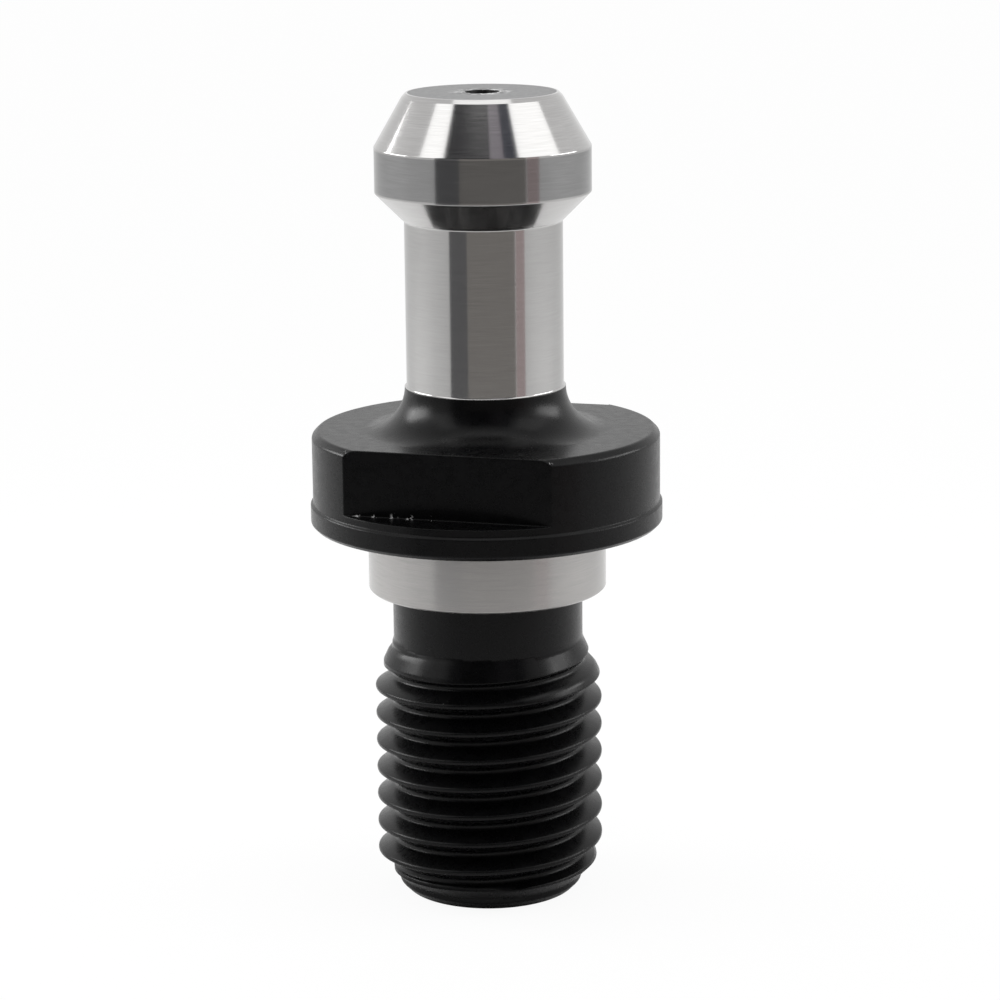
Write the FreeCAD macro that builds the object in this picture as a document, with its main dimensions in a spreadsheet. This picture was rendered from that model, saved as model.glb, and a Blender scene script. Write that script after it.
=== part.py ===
"""Pull stud (retention knob) for a 50-taper tool holder: one solid, turned from bar.

Frame: +Z runs along the stud's axis towards the gripping head. The origin is the
centre of the seat, the underside of the flange, which stops against the tool
holder. The thread hangs below the seat and the knob stands above it. The two
wrench flats face -Y and +Y. Lengths are in millimetres, angles in degrees.
"""
import FreeCAD, Part
import math
import os
import Sketcher

Vector = FreeCAD.Vector

NODE = "pull_stud"

# Driving dimensions: name, value, meaning. Heights are above the seat.
SIZES = [
    ("knob_height", 45.0, "seat to the top face of the head"),
    ("cone_edge_height", 39.5, "seat to the rim below the lead-in cone"),
    ("cone_angle", 30.0, "lead-in cone, from the axis"),
    ("face_bevel", 0.4, "bevel round the top face"),
    ("head_diameter", 22.4, "cylinder of the head"),
    ("grip_edge_height", 34.8, "seat to the rim above the gripping face"),
    ("grip_angle", 45.0, "gripping face, from the axis"),
    ("neck_diameter", 16.4, "ground neck"),
    ("root_step", 0.2, "how far the black root stands proud of the ground neck"),
    ("root_radius", 4.5, "concave round of the root, from the neck to the flange"),
    ("flange_height", 10.0, "seat to the top face of the flange"),
    ("flange_diameter", 36.4, "flange above its lip"),
    ("flange_bevel", 0.6, "bevel on the upper edge of the flange"),
    ("lip_diameter", 36.9, "lip at the foot of the flange"),
    ("lip_height", 2.2, "seat to the shoulder of the lip"),
    ("lip_bevel", 0.4, "bevel between the lip and the seat"),
    ("across_flats", 29.0, "distance between the two wrench flats"),
    ("flat_floor_height", 3.2, "seat to the ledges where the flats stop"),
    ("pilot_diameter", 25.0, "ground pilot that centres in the holder"),
    ("pilot_length", 7.0, "seat to the end of the pilot"),
    ("pilot_bevel", 0.2, "bevel on the end of the pilot"),
    ("relief_diameter", 20.0, "undercut between pilot and thread"),
    ("relief_length", 5.6, "straight stretch of the undercut"),
    ("runout_angle", 25.0, "flare from the undercut to the thread, from the axis"),
    ("thread_diameter", 24.0, "major diameter of the M24 x 3 thread"),
    ("thread_pitch", 3.0, "right-hand, single start"),
    ("thread_lift", -0.35, "shift of the turns along the axis, below half a pitch"),
    ("thread_side_length", 40.0, "seat to the end face below the thread"),
    ("nose_diameter", 19.5, "plain nose below the last turn"),
    ("nose_length", 1.4, "length of the plain nose"),
    ("nose_bevel", 0.9, "bevel between the nose and the end face"),
    ("sink_diameter", 3.6, "mouth of the two lathe centre holes"),
    ("sink_angle", 30.0, "countersink of the centre holes, from the axis"),
    ("drill_diameter", 1.6, "drilled bottom of the centre holes"),
    ("drill_depth", 3.4, "face to the end of the drilled wall"),
    ("drill_tip_angle", 59.0, "point of the drill, from the axis"),
]

SHEET = "sizes"
SPARE_CELL = "E1"
FULL_TURN = 360

# The sketcher's own numbers: its two axes, its origin, and the ends of a line.
H_AXIS, V_AXIS = -1, -2
ORIGIN_POINT = (H_AXIS, 1)
START, END = 1, 2


def make_sheet(doc):
    """The spreadsheet of driving dimensions, each with its name as alias."""
    sheet = doc.addObject("Spreadsheet::Sheet", SHEET)
    for row, (name, value, meaning) in enumerate(SIZES, start=1):
        sheet.set(f"A{row}", name)
        sheet.set(f"B{row}", str(value))
        sheet.set(f"C{row}", meaning)
        sheet.setAlias(f"B{row}", name)
    doc.recompute()
    return sheet


def size(name):
    """A driving dimension, as an expression names it."""
    return f"{SHEET}.{name}"


def half(name):
    """Half of a driving dimension, such as the radius of a diameter."""
    return f"{SHEET}.{name} / 2"


def tangent(name):
    """The tangent of a driving angle."""
    return f"tan({SHEET}.{name} * 1 deg)"


def worked_out(doc, formula):
    """The number that a formula gives now, worked out in a spare cell."""
    sheet = doc.getObject(SHEET)
    sheet.set(SPARE_CELL, f"={formula}")
    sheet.recompute()
    number = float(sheet.get(SPARE_CELL))
    sheet.clear(SPARE_CELL)
    sheet.recompute()
    return number


def origin_feature(body, role):
    """The body's own origin plane or axis with this role."""
    return next(item for item in body.Origin.OriginFeatures if item.Role == role)


def new_sketch(body, name, role="XZ_Plane"):
    """An empty sketch on one of the body's origin planes."""
    sketch = body.newObject("Sketcher::SketchObject", name)
    sketch.AttachmentSupport = [(origin_feature(body, role), "")]
    sketch.MapMode = "FlatFace"
    return sketch


def hold(sketch, line, kind, axis, formula):
    """Hold the start of a line at the distance that a formula gives."""
    if formula == "0":
        sketch.addConstraint(Sketcher.Constraint("PointOnObject", line, START, axis))
        return
    value = worked_out(sketch.Document, formula)
    number = sketch.addConstraint(Sketcher.Constraint(kind, *ORIGIN_POINT, line, START, value))
    sketch.setExpression(f"Constraints[{number}]", formula)


def cove(start, end):
    """A concave quarter circle from a point beside its centre to a point straight below it."""
    centre = Vector(end.x, start.y, 0)
    circle = Part.Circle(centre, Vector(0, 0, 1), end.x - start.x)
    return Part.ArcOfCircle(circle, math.pi, 3 * math.pi / 2)


def draw_outline(sketch, corners, cove_after=None):
    """A closed outline through corners, each given as two formulas, across and up.

    The outline runs straight from corner to corner, but in a cove after the corner
    numbered cove_after, where the next corner is as far out as it is down.
    """
    doc = sketch.Document
    points = [Vector(worked_out(doc, across), worked_out(doc, up), 0) for across, up in corners]
    for line, (start, end) in enumerate(zip(points, points[1:] + points[:1])):
        piece = cove(start, end) if line == cove_after else Part.LineSegment(start, end)
        sketch.addGeometry(piece, False)
    for line, (across, up) in enumerate(corners):
        following = (line + 1) % len(corners)
        sketch.addConstraint(Sketcher.Constraint("Coincident", line, END, following, START))
        hold(sketch, line, "DistanceX", V_AXIS, across)
        hold(sketch, line, "DistanceY", H_AXIS, up)
    if cove_after is not None:
        radius = points[cove_after + 1].x - points[cove_after].x
        number = sketch.addConstraint(Sketcher.Constraint("Radius", cove_after, radius))
        sketch.setExpression(f"Constraints[{number}]", "sizes.root_radius")
    doc.recompute()
    return sketch


# Places on the blank that more than one feature uses.
CONE_RADIUS_AT_BEVEL = (
    f"({half('head_diameter')} - (sizes.knob_height - sizes.face_bevel"
    f" - sizes.cone_edge_height) * {tangent('cone_angle')})"
)
NECK_TOP = f"(sizes.grip_edge_height - (sizes.head_diameter - sizes.neck_diameter) / 2 / {tangent('grip_angle')})"
ROOT_EDGE = "(sizes.neck_diameter / 2 + sizes.root_step)"
ROOT_TOP = "(sizes.flange_height + sizes.root_radius)"
FLARE_TOP = "(-sizes.pilot_length - sizes.relief_length)"
THREAD_TOP = f"({FLARE_TOP} - (sizes.thread_diameter - sizes.relief_diameter) / 2 / {tangent('runout_angle')})"
NOSE_TOP = "(sizes.nose_length - sizes.thread_side_length)"
THREAD_FOOT = f"({NOSE_TOP} + (sizes.thread_diameter - sizes.nose_diameter) / 2)"


def turn_blank(body):
    """The turned bar before its flats, centre holes and thread: half a section, spun about Z."""
    corners = [
        ("0", "sizes.knob_height"),
        (f"{CONE_RADIUS_AT_BEVEL} - sizes.face_bevel", "sizes.knob_height"),
        (CONE_RADIUS_AT_BEVEL, "sizes.knob_height - sizes.face_bevel"),
        (half("head_diameter"), "sizes.cone_edge_height"),
        (half("head_diameter"), "sizes.grip_edge_height"),
        (half("neck_diameter"), NECK_TOP),
        (half("neck_diameter"), ROOT_TOP),
        (ROOT_EDGE, ROOT_TOP),
        (f"{ROOT_EDGE} + sizes.root_radius", "sizes.flange_height"),
        ("sizes.flange_diameter / 2 - sizes.flange_bevel", "sizes.flange_height"),
        (half("flange_diameter"), "sizes.flange_height - sizes.flange_bevel"),
        (half("flange_diameter"), "sizes.lip_height + (sizes.lip_diameter - sizes.flange_diameter) / 2"),
        (half("lip_diameter"), "sizes.lip_height"),
        (half("lip_diameter"), "sizes.lip_bevel"),
        ("sizes.lip_diameter / 2 - sizes.lip_bevel", "0"),
        (half("pilot_diameter"), "0"),
        (half("pilot_diameter"), "sizes.pilot_bevel - sizes.pilot_length"),
        ("sizes.pilot_diameter / 2 - sizes.pilot_bevel", "-sizes.pilot_length"),
        (half("relief_diameter"), "-sizes.pilot_length"),
        (half("relief_diameter"), FLARE_TOP),
        (half("thread_diameter"), THREAD_TOP),
        (half("thread_diameter"), THREAD_FOOT),
        (half("nose_diameter"), NOSE_TOP),
        (half("nose_diameter"), "sizes.nose_bevel - sizes.thread_side_length"),
        ("sizes.nose_diameter / 2 - sizes.nose_bevel", "-sizes.thread_side_length"),
        ("0", "-sizes.thread_side_length"),
    ]
    cove_after = corners.index((ROOT_EDGE, ROOT_TOP))
    section = draw_outline(new_sketch(body, "blank_section"), corners, cove_after)
    blank = body.newObject("PartDesign::Revolution", "blank")
    blank.Profile = section
    blank.ReferenceAxis = (section, ["V_Axis"])
    blank.Angle = FULL_TURN
    body.Document.recompute()


def mill_flats(body):
    """Two opposed wrench flats, milled from above down to a ledge over the lip."""
    section = new_sketch(body, "flat_section", "YZ_Plane")
    outside = "sizes.lip_diameter"
    corners = [
        (half("across_flats"), "sizes.flat_floor_height"),
        (outside, "sizes.flat_floor_height"),
        (outside, "2 * sizes.flange_height"),
        (half("across_flats"), "2 * sizes.flange_height"),
    ]
    draw_outline(section, corners)
    flat = body.newObject("PartDesign::Pocket", "wrench_flat")
    flat.Profile = section
    flat.Midplane = True
    flat.setExpression("Length", "2 * sizes.lip_diameter")
    body.Document.recompute()
    pair = body.newObject("PartDesign::Mirrored", "wrench_flats")
    pair.Originals = [flat]
    pair.MirrorPlane = (origin_feature(body, "XZ_Plane"), [""])
    body.Tip = pair
    body.Document.recompute()


def drill_centre(body, name, face, inward):
    """A lathe centre hole: a countersink, then a short drilled hole with its point.

    face is the height of the end face and inward is "-" or "+", the way into the metal.
    """
    sink_depth = f"(sizes.sink_diameter - sizes.drill_diameter) / 2 / {tangent('sink_angle')}"
    tip_depth = f"sizes.drill_depth + sizes.drill_diameter / 2 / {tangent('drill_tip_angle')}"
    corners = [
        ("0", face),
        (half("sink_diameter"), face),
        (half("drill_diameter"), f"{face} {inward} ({sink_depth})"),
        (half("drill_diameter"), f"{face} {inward} sizes.drill_depth"),
        ("0", f"{face} {inward} ({tip_depth})"),
    ]
    section = draw_outline(new_sketch(body, f"{name}_section"), corners)
    hole = body.newObject("PartDesign::Groove", name)
    hole.Profile = section
    hole.ReferenceAxis = (section, ["V_Axis"])
    hole.Angle = FULL_TURN
    body.Document.recompute()


def cut_thread(body):
    """The right-hand thread: a 60-degree groove swept up a helix.

    The sharp triangle under the flanks is pitch / 2 / tan(30 deg) high. The flanks
    pass the pitch cylinder, 3/8 of that below the crests, a quarter of the pitch
    each side of the groove's middle, and the root lies 17/24 of it below the crests.
    The groove starts clear of the lead-in bevel and runs out in the undercut.
    """
    pitch = size("thread_pitch")
    triangle = f"({pitch} / 2 / tan(30 deg))"
    crest = half("thread_diameter")
    root_radius = f"({crest} - 17 / 24 * {triangle})"
    outside_radius = f"({crest} + {pitch} / 16)"
    root_half_width = f"({pitch} / 12)"
    outside_half_width = f"({pitch} / 4 + (3 / 8 * {triangle} + {pitch} / 16) * tan(30 deg))"
    start = f"(sizes.thread_lift - sizes.thread_side_length - {pitch} / 2)"
    finish = f"(-sizes.pilot_length - sizes.relief_length / 2)"
    corners = [
        (root_radius, f"{start} - {root_half_width}"),
        (outside_radius, f"{start} - {outside_half_width}"),
        (outside_radius, f"{start} + {outside_half_width}"),
        (root_radius, f"{start} + {root_half_width}"),
    ]
    section = draw_outline(new_sketch(body, "groove_section"), corners)
    thread = body.newObject("PartDesign::SubtractiveHelix", "thread")
    thread.Profile = section
    thread.ReferenceAxis = (section, ["V_Axis"])
    thread.Mode = "pitch-height-angle"
    thread.LeftHanded = False
    thread.setExpression("Pitch", pitch)
    thread.setExpression("Height", f"{finish} - {start}")
    body.Document.recompute()


def make_stud(doc):
    """The whole stud as one body."""
    body = doc.addObject("PartDesign::Body", NODE)
    body.Label = NODE
    turn_blank(body)
    mill_flats(body)
    drill_centre(body, "head_centre", "sizes.knob_height", "-")
    drill_centre(body, "end_centre", "-sizes.thread_side_length", "+")
    cut_thread(body)
    body.Placement = FreeCAD.Placement()
    return body


def check(doc, body):
    """Stop if an object failed, or if the stud isn't one sound solid."""
    doc.recompute()
    for item in doc.Objects:
        if "Invalid" in item.State or "Error" in item.State:
            raise RuntimeError(f"{item.Name} failed: {item.State}")
    shape = body.Shape
    if shape.isNull() or not shape.isValid() or len(shape.Solids) != 1:
        raise RuntimeError(f"{body.Label} isn't one valid solid")


def main():
    doc = FreeCAD.newDocument("pull_stud_model")
    make_sheet(doc)
    stud = make_stud(doc)
    check(doc, stud)
    os.makedirs("parts", exist_ok=True)
    stud.Shape.exportStep(f"parts/{stud.Label}.step")
    box = stud.Shape.BoundBox
    print(f"{stud.Label}: volume {stud.Shape.Volume:.1f} mm3, height {box.ZMin:.3f} to {box.ZMax:.3f} mm")


main()
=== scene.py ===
"""Looks of the pull stud: a turned, hardened stud, black but for its ground head, neck and pilot.

The stud's skin is one closed surface, worked out in millimetres from a rounded profile,
a helical thread and two flats, and put into the mesh in metres. Z runs up the stud and
the seat is at 0, as in the row frame.
"""
import math

import bpy
import numpy as np
from mathutils import Matrix, Vector


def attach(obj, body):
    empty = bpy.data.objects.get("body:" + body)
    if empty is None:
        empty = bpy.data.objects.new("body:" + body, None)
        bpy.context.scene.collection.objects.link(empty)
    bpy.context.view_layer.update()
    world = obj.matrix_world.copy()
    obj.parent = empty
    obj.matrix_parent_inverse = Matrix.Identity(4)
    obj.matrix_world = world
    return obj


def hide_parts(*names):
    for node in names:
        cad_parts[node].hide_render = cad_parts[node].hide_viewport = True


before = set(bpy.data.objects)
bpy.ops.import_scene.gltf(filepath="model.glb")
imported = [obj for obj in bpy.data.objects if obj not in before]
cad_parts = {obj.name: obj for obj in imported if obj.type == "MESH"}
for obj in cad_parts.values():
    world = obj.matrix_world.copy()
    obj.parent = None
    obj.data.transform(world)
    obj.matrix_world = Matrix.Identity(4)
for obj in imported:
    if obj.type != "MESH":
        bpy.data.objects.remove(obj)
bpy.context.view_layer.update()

MM = 0.001
TURN = 2 * math.pi

# ---------------------------------------------------------------- sizes, in mm
# R is a radius, Z a height above the seat and Y a distance from the axis.
HEAD_R, NECK_R, BLACK_ROOT_R = 11.2, 8.2, 8.4
FACE_Z, CONE_Z, GRIP_Z, NECK_TOP_Z = 45.0, 39.5, 34.8, 31.8
ROOT_TOP_Z, FLANGE_Z, ROOT_R = 14.5, 10.0, 4.5
FLANGE_R, LIP_R, LIP_Z = 18.2, 18.45, 2.2
FLAT_Y, LEDGE_Z = 14.5, 3.2
PILOT_R, PILOT_Z = 12.5, -7.0
RELIEF_R, FLARE_Z, END_Z = 10.0, -12.6, -40.0
NOSE_R, NOSE_Z = 9.75, -38.6
CREST_R, PITCH, GROOVE_START = 12.0, 3.0, -41.85
FACE_BEVEL, FLANGE_BEVEL, LIP_BEVEL, PILOT_BEVEL, NOSE_BEVEL = 0.4, 0.6, 0.4, 0.2, 0.9
CONE_SLOPE = math.tan(math.radians(30))
FLARE_SLOPE = math.tan(math.radians(25))

# The centre holes: mouth and drill radius, and depths of the countersink, drill and point.
SINK_R, DRILL_R = 1.8, 0.8
SINK_DEPTH, DRILL_DEPTH, POINT_DEPTH = 1.73, 3.4, 3.88

# Heights between which the rows of the skin follow the thread.
HELIX_TOP_Z, HELIX_FOOT_Z = -9.5, -38.7
CREST_ROUND, ROOT_STEPS = 0.26, 4
FLAT_EDGE = 0.16     # round on the upper edge of a flat
CREASE_EASE = 0.04   # softness of the crease where the thread runs out

# The material slots of the skin, in order.
GROUND, BLACK, FACE, HEAD, SATIN, GRIP = range(6)

# ---------------------------------------------------------------- profile


def rounded(corners, steps=4):
    """A profile of straight lines through (radius, height) corners, each rounded by an arc.

    The arc of radius R at a corner starts and ends R * tan(turn / 2) from it along the
    two lines, and its tangent turns evenly from the one line's direction to the other's.
    Returns places (n, 2) and outward normals (n, 2), where outward is the tangent turned
    a quarter turn anticlockwise.
    """
    points = np.array([corner[:2] for corner in corners], float)
    ways = np.diff(points, axis=0)
    ways /= np.linalg.norm(ways, axis=1)[:, None]
    places, tangents = [points[:1]], [ways[:1]]
    for corner, before, after, (_, _, radius) in zip(points[1:-1], ways[:-1], ways[1:], corners[1:-1]):
        turn = math.atan2(before[0] * after[1] - before[1] * after[0], before @ after)
        angle = np.linspace(0, turn, steps + 1)
        side = math.copysign(radius, turn)
        square = np.array([-before[1], before[0]])
        centre = corner - before * radius * math.tan(abs(turn) / 2) + side * square
        tangent = before * np.cos(angle)[:, None] + square * np.sin(angle)[:, None]
        places.append(centre - side * np.stack([-tangent[:, 1], tangent[:, 0]], 1))
        tangents.append(tangent)
    places.append(points[-1:])
    tangents.append(ways[-1:])
    tangent = np.concatenate(tangents)
    return np.concatenate(places), np.stack([-tangent[:, 1], tangent[:, 0]], 1)


def thread_rows():
    """One pitch of the thread, from one groove's middle down to the next.

    Heights are below the middle. The root is an arc of radius H / 6 that touches both
    60-degree flanks, and the crest is a narrow flat between two roundings, where H is
    the height of the sharp triangle.
    """
    sharp = PITCH / 2 / math.tan(math.radians(30))
    root = sharp / 6
    apex = CREST_R - 7 / 8 * sharp
    angle = np.radians(np.linspace(0, 60, ROOT_STEPS))
    arc = np.stack([apex + 2 * root - root * np.cos(angle), -root * np.sin(angle)], 1)
    arc_normal = np.stack([np.cos(angle), np.sin(angle)], 1)
    crest, crest_normal = rounded([
        (arc[-1, 0], arc[-1, 1], 0), (CREST_R, -PITCH / 2 + PITCH / 16, CREST_ROUND),
        (CREST_R, -PITCH / 2, 0)], 3)
    middle = (arc[-1:] + crest[1:2]) / 2
    half = np.concatenate([arc, middle, crest[1:]])
    half_normal = np.concatenate([arc_normal, arc_normal[-1:], crest_normal[1:]])
    other = half[-2:0:-1] * (1, -1) - (0, PITCH)
    other_normal = half_normal[-2:0:-1] * (1, -1)
    return np.concatenate([half, other]), np.concatenate([half_normal, other_normal])


def blank(height):
    """Radius and slope of the blank under the thread: nose, lead-in bevel, body, flare and undercut.

    The body stands 1 mm proud of the crests, so that it never trims them.
    """
    lead = NOSE_R + (height - NOSE_Z)
    flare = RELIEF_R + (FLARE_Z - height) * FLARE_SLOPE
    radius = np.clip(np.minimum(lead, np.maximum(flare, RELIEF_R)), NOSE_R, CREST_R + 1)
    low_half = height < (FLARE_Z + NOSE_Z) / 2
    slope = np.where(radius > CREST_R, 0, np.where(low_half, 1.0, -FLARE_SLOPE))
    return radius, np.where((height > FLARE_Z) | (height < NOSE_Z), 0, slope)


# ---------------------------------------------------------------- the skin


def columns():
    """Angles round the stud, even but for a pair close beside each corner of a flat.

    Returns the angles of one full turn and the angle of the first corner.
    """
    corner = math.asin(FLAT_Y / FLANGE_R)
    near = math.radians(0.2)
    rise = np.concatenate([
        np.linspace(0, corner - near, 40), [corner], np.linspace(corner + near, math.pi / 2, 29)])
    half = np.concatenate([rise, math.pi - rise[-2::-1]])
    return np.concatenate([half, half[1:] + math.pi]), corner


def shifted(angle, corner, wanted):
    """The columns moved so that the ones at a flat's corner stand at another angle.

    In each quarter, the angle from the X axis is stretched evenly on either side of the corner.
    """
    fold = np.abs((angle + math.pi / 2) % math.pi - math.pi / 2)
    fold = np.where(np.abs(np.sin(angle)) > 1 - 1e-12, math.pi / 2, fold)
    new = np.interp(fold, [0, corner, math.pi / 2], [0, wanted, math.pi / 2])
    sign = np.where(np.sin(2 * angle) >= 0, 1, -1)
    return angle + sign * (new - fold)


class Skin:
    """Rows of the skin from the head's centre to the end's centre, each a full turn."""

    def __init__(self):
        self.angle, self.corner = columns()
        self.rows, self.normals, self.finish = [], [], []

    def add(self, radius, height, out, up, finish, angle=None, across=0.0, flat=None):
        """One row. Radius, height and the normal's three parts may vary round the turn.

        flat is (where the row runs along a flat, the normal there).
        """
        angle = self.angle if angle is None else angle
        one = np.ones_like(angle)
        cos, sin = np.cos(angle), np.sin(angle)
        normal = np.stack([out * cos - across * sin, out * sin + across * cos, up * one], 1)
        if flat is not None:
            inside, flat_normal = flat
            normal = np.where(inside[:, None], flat_normal, normal)
        self.rows.append(np.stack([radius * cos, radius * sin, height * one], 1))
        self.normals.append(normal)
        self.finish.append(finish)

    def turned(self, corners, finish):
        """Plain turned rows along a rounded profile."""
        for (radius, height), (out, up) in zip(*rounded(corners)):
            self.add(radius, height, out, up, finish)

    def flatted(self, radius, height, normal, distance, flat_height, flat_normal, reach=None):
        """A row of the flange that runs along the flat where the flat is nearer than the radius.

        There its radius is distance / |sin(angle)|, or the lesser of the row's own radius
        and reach / |sin(angle)| on the ledge, and its height and normal are the flat's.
        """
        angle = shifted(self.angle, self.corner, math.asin(min(1.0, distance / radius)))
        sine = np.maximum(np.abs(np.sin(angle)), 1e-9)
        to_flat = distance / sine
        inside = to_flat < radius * (1 - 1e-9)
        along = to_flat if reach is None else np.minimum(radius, reach / sine)
        out, up = np.array(flat_normal) / np.linalg.norm(flat_normal)
        flat_way = np.stack([0 * angle, np.sign(np.sin(angle)) * out, 0 * angle + up], 1)
        self.add(np.where(inside, along, radius), np.where(inside, flat_height, height),
                 *normal, BLACK, angle, flat=(inside, flat_way))

    def threaded(self, top, foot, finish):
        """Helical rows between two heights: each follows one line of the thread round a turn.

        A line's height is its start plus pitch * angle / turn, held between foot and top.
        Its radius is the lesser of the thread's and the blank's at that height, eased where
        they cross: less the ease times log(1 + exp(-difference / ease)).
        """
        rows, normals = thread_rows()
        marks = np.append(-rows[:, 1] / PITCH, 1.0)
        radii = np.append(rows[:, 0], rows[0, 0])
        rise = PITCH * self.angle / TURN
        first = GROOVE_START + PITCH * math.ceil((top - GROOVE_START) / PITCH)
        for turn in range(int((first - foot) / PITCH) + 3):
            for (radius, below), (out, up) in zip(rows, normals):
                height = np.clip(first - turn * PITCH + below + rise, foot, top)
                phase = (height - GROOVE_START - rise) / PITCH
                thread_r = np.interp(-phase % 1.0, marks, radii)
                blank_r, slope = blank(height)
                apart = (blank_r - thread_r) / CREASE_EASE
                eased = np.minimum(blank_r, thread_r) - CREASE_EASE * np.log1p(np.exp(-np.abs(apart)))
                plain = 1 / (1 + np.exp(np.clip(apart, -50, 50)))
                length = np.hypot(1, slope)
                self.add(eased, height, plain / length + (1 - plain) * out,
                         -plain * slope / length + (1 - plain) * up, finish,
                         across=-(1 - plain) * up * PITCH / (TURN * radius))

    def mesh(self, name, materials):
        """The closed mesh: rows joined into triangles, doubles merged and empty triangles dropped."""
        count, width = len(self.rows), len(self.angle)
        places = np.array(self.rows).reshape(-1, 3)
        grid = np.round(places * 2e4).astype(np.int64)
        _, keep, index = np.unique(grid, axis=0, return_index=True, return_inverse=True)
        index = index.reshape(count, width)
        a, b, c, d = index[:-1, :-1], index[1:, :-1], index[1:, 1:], index[:-1, 1:]
        triangles = np.concatenate([np.stack([a, b, c], -1), np.stack([a, c, d], -1)]).reshape(-1, 3)
        finish = np.tile(np.repeat(self.finish[1:], width - 1), 2)
        whole = np.all(triangles != np.roll(triangles, 1, axis=1), axis=1)
        triangles, finish = triangles[whole], finish[whole]
        mesh = bpy.data.meshes.new(name)
        mesh.from_pydata((places[keep] * MM).tolist(), [], triangles.tolist())
        for material in materials:
            mesh.materials.append(material)
        mesh.polygons.foreach_set("material_index", finish.astype(np.int32))
        mesh.polygons.foreach_set("use_smooth", np.ones(len(triangles), bool))
        way = np.array(self.normals).reshape(-1, 3)[keep]
        way /= np.maximum(np.linalg.norm(way, axis=1), 1e-12)[:, None]
        mesh.normals_split_custom_set_from_vertices(way.tolist())
        mesh.update()
        return added(name, mesh)


def added(name, data):
    """A new object with this data, in the scene and at the origin."""
    piece = bpy.data.objects.new(name, data)
    bpy.context.scene.collection.objects.link(piece)
    return piece


def centre_hole(face, way):
    """Corners of a lathe centre hole, from its point to its mouth. way is 1 if the face looks up."""
    return [(0.0, face - way * POINT_DEPTH, 0), (DRILL_R, face - way * DRILL_DEPTH, 0.05),
            (DRILL_R, face - way * SINK_DEPTH, 0.1), (SINK_R, face, 0.12)]


def head_and_neck(skin):
    """Centre hole, end face, bevel, lead-in cone, cylinder, gripping face and ground neck."""
    rim = HEAD_R - (FACE_Z - FACE_BEVEL - CONE_Z) * CONE_SLOPE
    skin.turned(centre_hole(FACE_Z, 1), BLACK)
    skin.turned([(SINK_R + 0.05, FACE_Z, 0), (rim - FACE_BEVEL - 0.2, FACE_Z, 0)], FACE)
    skin.turned([
        (rim - FACE_BEVEL - 0.15, FACE_Z, 0), (rim - FACE_BEVEL, FACE_Z, 0.1),
        (rim, FACE_Z - FACE_BEVEL, 0.1), (HEAD_R, CONE_Z, 0.14), (HEAD_R, CONE_Z - 0.2, 0)], GROUND)
    skin.turned([(HEAD_R, CONE_Z - 0.25, 0), (HEAD_R, GRIP_Z + 0.2, 0)], HEAD)
    skin.turned([
        (HEAD_R, GRIP_Z + 0.15, 0), (HEAD_R, GRIP_Z, 0.14), (NECK_R + 0.3, NECK_TOP_Z + 0.3, 0)], GRIP)
    skin.turned([
        (NECK_R + 0.25, NECK_TOP_Z + 0.25, 0), (NECK_R, NECK_TOP_Z, 0.25), (NECK_R, ROOT_TOP_Z, 0.17),
        (BLACK_ROOT_R - 0.01, ROOT_TOP_Z, 0)], GROUND)


def root_and_flange(skin):
    """The black root's concave quarter round, then the flange, cut by the flats down to the ledge."""
    skin.turned([
        (BLACK_ROOT_R - 0.01, ROOT_TOP_Z, 0), (BLACK_ROOT_R, ROOT_TOP_Z, 0.008),
        (BLACK_ROOT_R, ROOT_TOP_Z - 0.1, 0)], BLACK)
    for turn in np.radians(np.linspace(1.5, 90, 18)):
        out, up = math.cos(turn), math.sin(turn)
        skin.add(BLACK_ROOT_R + ROOT_R - ROOT_R * out, ROOT_TOP_Z - ROOT_R * up, out, up, BLACK)

    places, ways = rounded([
        (13.5, FLANGE_Z, 0), (FLANGE_R - FLANGE_BEVEL, FLANGE_Z, 0.5),
        (FLANGE_R, FLANGE_Z - FLANGE_BEVEL, 0.5), (FLANGE_R, LEDGE_Z + 0.1, 0)])
    start, start_way = places[1], ways[1]
    for turn in np.radians([0, 22.5, 45, 67.5, 90]):
        out, up = math.sin(turn), math.cos(turn)
        skin.flatted(*start, start_way, FLAT_Y - FLAT_EDGE + FLAT_EDGE * out,
                     FLANGE_Z - FLAT_EDGE + FLAT_EDGE * up, (out, up))
    for (radius, height), way in zip(places[2:], ways[2:]):
        skin.flatted(radius, height, way, FLAT_Y, min(height, FLANGE_Z - FLAT_EDGE), (1, 0))
    outward = (1.0, 0.0)
    skin.flatted(FLANGE_R, LEDGE_Z, outward, FLAT_Y, LEDGE_Z, (1, 1))
    skin.flatted(FLANGE_R, LEDGE_Z, outward, FLAT_Y, LEDGE_Z, (0, 1), reach=FLAT_Y + 0.1)
    skin.flatted(FLANGE_R - MM, LEDGE_Z, outward, FLAT_Y, LEDGE_Z, (0, 1), reach=99)
    skin.add(FLANGE_R, LEDGE_Z - 0.08, *outward, BLACK)


def lip_and_pilot(skin):
    """The lip, the seat, the ground pilot and the step into the undercut."""
    skin.turned([
        (FLANGE_R, LEDGE_Z - 0.1, 0), (FLANGE_R, LIP_Z + LIP_R - FLANGE_R, 0.12), (LIP_R, LIP_Z, 0.12),
        (LIP_R, LIP_BEVEL, 0.2), (LIP_R - LIP_BEVEL, 0.0, 0.12), (PILOT_R, 0.0, 0.03),
        (PILOT_R, -0.06, 0)], BLACK)
    skin.turned([
        (PILOT_R, -0.1, 0), (PILOT_R, PILOT_Z + PILOT_BEVEL, 0.1),
        (PILOT_R - PILOT_BEVEL, PILOT_Z, 0.06), (PILOT_R - 0.5, PILOT_Z, 0)], SATIN)
    skin.turned([
        (PILOT_R - 0.55, PILOT_Z, 0), (RELIEF_R, PILOT_Z, 0.3), (RELIEF_R, HELIX_TOP_Z, 0)], BLACK)


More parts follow.
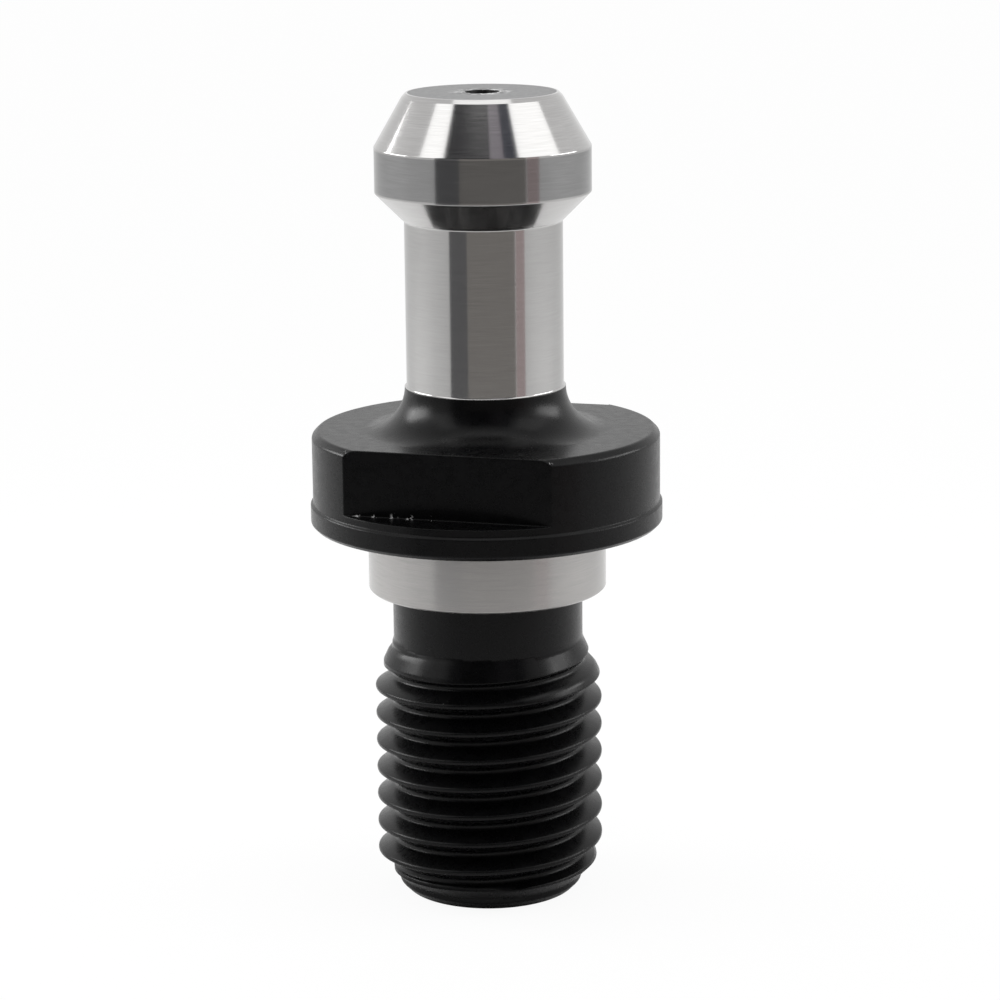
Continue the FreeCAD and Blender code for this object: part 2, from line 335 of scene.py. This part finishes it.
def thread_and_end(skin):
    """The thread, the plain nose, the end face and its centre hole."""
    skin.threaded(HELIX_TOP_Z, HELIX_FOOT_Z, BLACK)
    skin.turned([
        (NOSE_R, HELIX_FOOT_Z - 0.05, 0), (NOSE_R, END_Z + NOSE_BEVEL, 0.5),
        (NOSE_R - NOSE_BEVEL, END_Z, 0.7), (4.0, END_Z, 0)], BLACK)
    skin.turned([(3.9, END_Z, 0)] + centre_hole(END_Z, -1)[::-1], BLACK)


# ---------------------------------------------------------------- finishes


def material(name):
    """A new material with its node tree, its shader and the Object coordinates."""
    made = bpy.data.materials.new(name)
    made.use_nodes = True
    tree = made.node_tree
    place = tree.nodes.new("ShaderNodeTexCoord")
    return made, tree, tree.nodes["Principled BSDF"], place.outputs["Object"]


def link(tree, start, end):
    """Joins an output socket to an input socket."""
    tree.links.new(start, end)


def stretched(tree, place, scale):
    """Coordinates scaled along each axis, in one Mapping node."""
    mapping = tree.nodes.new("ShaderNodeMapping")
    mapping.inputs["Scale"].default_value = scale
    link(tree, place, mapping.inputs["Vector"])
    return mapping.outputs["Vector"]


def noise(tree, place, scale, detail, roughness=0.6):
    """Fractal noise, mostly between 0.3 and 0.7."""
    node = tree.nodes.new("ShaderNodeTexNoise")
    node.inputs["Scale"].default_value = scale
    node.inputs["Detail"].default_value = detail
    node.inputs["Roughness"].default_value = roughness
    link(tree, place, node.inputs["Vector"])
    return node.outputs["Fac"]


def span(tree, value, low, high):
    """Noise from 0.3 to 0.7 spread evenly from low to high."""
    node = tree.nodes.new("ShaderNodeMapRange")
    node.inputs["From Min"].default_value = 0.3
    node.inputs["From Max"].default_value = 0.7
    node.inputs["To Min"].default_value = low
    node.inputs["To Max"].default_value = high
    link(tree, value, node.inputs["Value"])
    return node.outputs["Result"]


def blended(tree, factor, first, second):
    """A colour from first to second by factor. Each is three numbers or a socket."""
    node = tree.nodes.new("ShaderNodeMix")
    node.data_type = "RGBA"
    link(tree, factor, node.inputs["Factor"])
    for socket, colour in ((node.inputs["A"], first), (node.inputs["B"], second)):
        if isinstance(colour, tuple):
            socket.default_value = (*colour, 1)
        else:
            link(tree, colour, socket)
    return node.outputs["Result"]


def combined(tree, operation, first, second):
    """One Math node. second is a number or a socket."""
    node = tree.nodes.new("ShaderNodeMath")
    node.operation = operation
    link(tree, first, node.inputs[0])
    if isinstance(second, float):
        node.inputs[1].default_value = second
    else:
        link(tree, second, node.inputs[1])
    return node.outputs[0]


def near_spot(tree, place, spot, reach):
    """1 at a spot, given in mm, and 0 from its reach outwards."""
    away = tree.nodes.new("ShaderNodeVectorMath")
    away.operation = "DISTANCE"
    away.inputs[1].default_value = [MM * value for value in spot]
    link(tree, place, away.inputs[0])
    fall = tree.nodes.new("ShaderNodeMapRange")
    fall.inputs["From Min"].default_value = reach * MM
    fall.inputs["From Max"].default_value = 0.4 * reach * MM
    link(tree, away.outputs["Value"], fall.inputs["Value"])
    return fall.outputs["Result"]


def ground_steel(name, dark, light, rough):
    """Bright steel with fine grinding lines round the axis, so that reflections smear along it."""
    made, tree, shader, place = material(name)
    rings = noise(tree, stretched(tree, place, (300, 300, 16000)), 1.0, 2.0, 0.5)
    shader.inputs["Metallic"].default_value = 1.0
    link(tree, blended(tree, span(tree, rings, 0, 1), dark, light), shader.inputs["Base Color"])
    link(tree, span(tree, rings, rough, rough + 0.03), shader.inputs["Roughness"])
    shader.inputs["Anisotropic"].default_value = 0.6
    shader.inputs["Anisotropic Rotation"].default_value = 0.25
    round_way = tree.nodes.new("ShaderNodeTangent")
    round_way.direction_type = "RADIAL"
    round_way.axis = "Z"
    link(tree, round_way.outputs["Tangent"], shader.inputs["Tangent"])
    return made


def face_steel():
    """The satin end face, with bright and dark chips round the mouth of its centre hole."""
    made, tree, shader, place = material("face_steel")
    grain = noise(tree, place, 2500.0, 3.0)
    satin = blended(tree, span(tree, grain, 0, 1), (0.17, 0.17, 0.175), (0.25, 0.25, 0.25))
    mouth = near_spot(tree, place, (0, 0, FACE_Z), 3.6)
    chips = noise(tree, place, 1500.0, 2.0)
    for operation, limit, shade in (("GREATER_THAN", 0.54, 0.85), ("LESS_THAN", 0.46, 0.02)):
        chipped = combined(tree, "MULTIPLY", mouth, combined(tree, operation, chips, limit))
        satin = blended(tree, chipped, satin, (shade, shade, shade))
    link(tree, satin, shader.inputs["Base Color"])
    shader.inputs["Metallic"].default_value = 1.0
    shader.inputs["Roughness"].default_value = 0.42
    return made


# Light specks in the black: a spot in mm and its reach. The first five are the cutter's marks along
# the front ledge, worn bare. Next come painted highlights, as light specks, at the flat's two upper
# corners.
# The last is a bare speck at the thread's start.
WEAR_AND_HIGHLIGHT_SPECKS = [
    ((-9.6, -14.5, 3.25), 0.5), ((-7.6, -14.5, 3.3), 0.45), ((-5.6, -14.5, 3.3), 0.5),
    ((-3.9, -14.6, 3.25), 0.5), ((-1.6, -14.5, 3.3), 0.4), ((-10.9, -14.5, 9.7), 0.55),
    ((10.9, -14.5, 9.6), 0.4), ((-1.2, -11.7, -16.9), 0.35)]


def black_oxide():
    """Black oxide on hardened steel: very dark and satin, worn to bare specks in a few places, with
    painted highlights as light specks at the flat's two upper corners.
    """
    made, tree, shader, place = material("black_oxide")
    grain = noise(tree, place, 900.0, 4.0)
    chips = combined(tree, "GREATER_THAN", noise(tree, place, 2600.0, 2.0), 0.57)
    # The light specks: worn bare along the ledge and at the thread's start, and painted highlights at the
    # flat's two upper corners.
    worn_and_highlight = near_spot(tree, place, *WEAR_AND_HIGHLIGHT_SPECKS[0])
    for speck in WEAR_AND_HIGHLIGHT_SPECKS[1:]:
        worn_and_highlight = combined(tree, "MAXIMUM", worn_and_highlight, near_spot(tree, place, *speck))
    bare_and_highlight = combined(tree, "MULTIPLY", worn_and_highlight, chips)
    black = blended(tree, span(tree, grain, 0, 1), (0.001, 0.001, 0.0012), (0.0022, 0.0022, 0.0024))
    # Light grey where the specks are: bare steel from wear, and painted highlights at the flat's corners.
    link(tree, blended(tree, bare_and_highlight, black, (0.45, 0.45, 0.45)), shader.inputs["Base Color"])
    link(tree, span(tree, grain, 0.24, 0.32), shader.inputs["Roughness"])
    shader.inputs["Specular IOR Level"].default_value = 0.14
    edge = tree.nodes.new("ShaderNodeBevel")
    edge.samples = 4
    edge.inputs["Radius"].default_value = 0.15 * MM
    bump = tree.nodes.new("ShaderNodeBump")
    bump.inputs["Strength"].default_value = 0.10
    bump.inputs["Distance"].default_value = 0.03 * MM
    link(tree, grain, bump.inputs["Height"])
    link(tree, edge.outputs["Normal"], bump.inputs["Normal"])
    link(tree, bump.outputs["Normal"], shader.inputs["Normal"])
    return made


# ---------------------------------------------------------------- surroundings

# The camera: its turn about the stud, its place in mm across, back and up from the seat's
# centre, its tilt down and its roll in degrees, and its lens in mm.
CAMERA_AZIMUTH = 16.0
CAMERA_ACROSS, CAMERA_BACK, CAMERA_UP = 1.402, 346.8, 81.8
CAMERA_TILT, CAMERA_ROLL, CAMERA_LENS = 12.935, -0.608, 121.94

# Upright cards round the stud: name, azimuths in degrees from the camera's side to its
# right, heights in metres, and colour. They give the ground steel its bands.
CARD_DISTANCE, FOOT_NEAR, FOOT_FAR, CARD_COLUMNS = 0.21, 0.175, 0.212, 60
CARDS = [
    ("dark_side", -50, -24, -0.038, 0.075, (0.17, 0.17, 0.175)),
    ("dim_front", -24, 45, -0.038, 0.075, (0.31, 0.295, 0.28)),
    ("rose_side", 46, 60, -0.038, 0.075, (0.56, 0.46, 0.46)),
    ("dark_top", -50, 10, 0.075, 0.34, (0.05, 0.05, 0.055)),
    ("violet_top", 10, 28, 0.075, 0.34, (0.36, 0.33, 0.37)),
    ("blue_top", 28, 46, 0.075, 0.34, (0.06, 0.065, 0.09)),
    ("left_box", -80, -51, 0.10, 0.34, (2.3, 2.3, 2.3)),
    ("right_box", 47, 98, 0.15, 0.34, (2.3, 2.3, 2.3)),
    ("left_lamp", -125, -87, 0.050, 0.120, (11.0, 11.0, 11.0)),
    ("right_lamp", 76, 115, 0.050, 0.110, (9.0, 9.0, 9.0))]


def card(name, distances, azimuths, heights, colour):
    """A glowing strip from one arc round the stud to another, not seen by the camera.

    An arc is all the points at one distance and height between the two azimuths.
    """
    turn = np.radians(np.linspace(*azimuths, CARD_COLUMNS))
    side = math.radians(CAMERA_AZIMUTH)
    right = np.array([math.cos(side), math.sin(side)])
    toward = np.array([math.sin(side), -math.cos(side)])
    ring = np.sin(turn)[:, None] * right + np.cos(turn)[:, None] * toward
    arcs = [np.column_stack([distance * ring, np.full(CARD_COLUMNS, height)])
            for distance, height in zip(distances, heights)]
    index = np.arange(CARD_COLUMNS - 1)
    faces = np.stack([index, index + 1, index + 1 + CARD_COLUMNS, index + CARD_COLUMNS], 1)
    mesh = bpy.data.meshes.new(name)
    mesh.from_pydata(np.concatenate(arcs).tolist(), [], faces.tolist())
    made = bpy.data.materials.new(name)
    made.use_nodes = True
    tree = made.node_tree
    tree.nodes.clear()
    light = tree.nodes.new("ShaderNodeEmission")
    light.inputs["Color"].default_value = (*colour, 1)
    out = tree.nodes.new("ShaderNodeOutputMaterial")
    link(tree, light.outputs["Emission"], out.inputs["Surface"])
    mesh.materials.append(made)
    piece = added(name, mesh)
    piece.visible_camera = False


def cards():
    """The upright cards, a foot on the floor in front of each that reaches it, and a light above."""
    for name, start, end, low, high, colour in CARDS:
        card(name, (CARD_DISTANCE, CARD_DISTANCE), (start, end), (low, high), colour)
        if low < 0:
            foot_z = (END_Z + 1) * MM
            card(name + "_foot", (FOOT_NEAR, FOOT_FAR), (start, end), (foot_z, foot_z), colour)
    card("top_box", (0.001, 0.15), (-180, 180), (0.401, 0.401), (2.0, 2.0, 2.0))


def pale_floor():
    """A pale floor at the thread's end. To the camera it is nearly all white, and keeps a faint shadow."""
    angle = np.linspace(0, TURN, 97)[:-1]
    ring = np.column_stack([4 * np.cos(angle), 4 * np.sin(angle), np.full(96, END_Z * MM)])
    mesh = bpy.data.meshes.new("floor")
    mesh.from_pydata(ring.tolist(), [], [list(range(96))])
    made, tree, shader, _ = material("pale_floor")
    shader.inputs["Base Color"].default_value = (0.8, 0.8, 0.8, 1)
    shader.inputs["Roughness"].default_value = 0.9
    shader.inputs["Specular IOR Level"].default_value = 0.0
    white = tree.nodes.new("ShaderNodeEmission")
    ray = tree.nodes.new("ShaderNodeLightPath")
    mix = tree.nodes.new("ShaderNodeMixShader")
    link(tree, combined(tree, "MULTIPLY", ray.outputs["Is Camera Ray"], 0.93), mix.inputs["Fac"])
    link(tree, shader.outputs[0], mix.inputs[1])
    link(tree, white.outputs[0], mix.inputs[2])
    link(tree, mix.outputs[0], tree.nodes["Material Output"].inputs["Surface"])
    mesh.materials.append(made)
    added("floor", mesh)


def white_sky():
    """Even white light from all round."""
    scene = bpy.context.scene
    scene.view_settings.view_transform = "Standard"
    scene.world = bpy.data.worlds.new("studio")
    scene.world.use_nodes = True
    back = scene.world.node_tree.nodes["Background"]
    back.inputs["Color"].default_value = (1, 1, 1, 1)
    back.inputs["Strength"].default_value = 1.0


def camera():
    """The camera, looking ahead and down by its tilt, and rolled about its line of sight."""
    tilt, roll, side = (math.radians(value) for value in (CAMERA_TILT, CAMERA_ROLL, CAMERA_AZIMUTH))
    right = Vector((math.cos(side), math.sin(side), 0))
    ahead = Vector((-math.sin(side), math.cos(side), 0))
    look = ahead * math.cos(tilt) + Vector((0, 0, -math.sin(tilt)))
    over = right.cross(look)
    x_way = right * math.cos(roll) + over * math.sin(roll)
    y_way = over * math.cos(roll) - right * math.sin(roll)
    place = (right * CAMERA_ACROSS - ahead * CAMERA_BACK + Vector((0, 0, CAMERA_UP))) * MM
    data = bpy.data.cameras.new("camera")
    data.lens, data.sensor_width = CAMERA_LENS, 36.0
    data.clip_start, data.clip_end = 0.01, 50
    made = added("camera", data)
    turn = Matrix((x_way, y_way, -look)).transposed().to_4x4()
    made.matrix_world = Matrix.Translation(place) @ turn
    bpy.context.scene.camera = made


skin = Skin()
for part in (head_and_neck, root_and_flange, lip_and_pilot, thread_and_end):
    part(skin)
stud = skin.mesh("stud_skin", [
    ground_steel("ground_steel", (0.40, 0.395, 0.39), (0.45, 0.445, 0.44), 0.12),
    black_oxide(),
    face_steel(),
    ground_steel("head_steel", (0.25, 0.25, 0.25), (0.30, 0.30, 0.30), 0.13),
    ground_steel("satin_steel", (0.31, 0.305, 0.30), (0.37, 0.36, 0.35), 0.23),
    ground_steel("grip_steel", (0.40, 0.395, 0.39), (0.45, 0.445, 0.44), 0.16)])
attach(stud, "root")
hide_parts("pull_stud")
white_sky()
pale_floor()
cards()
camera()

bpy.context.view_layer.update()
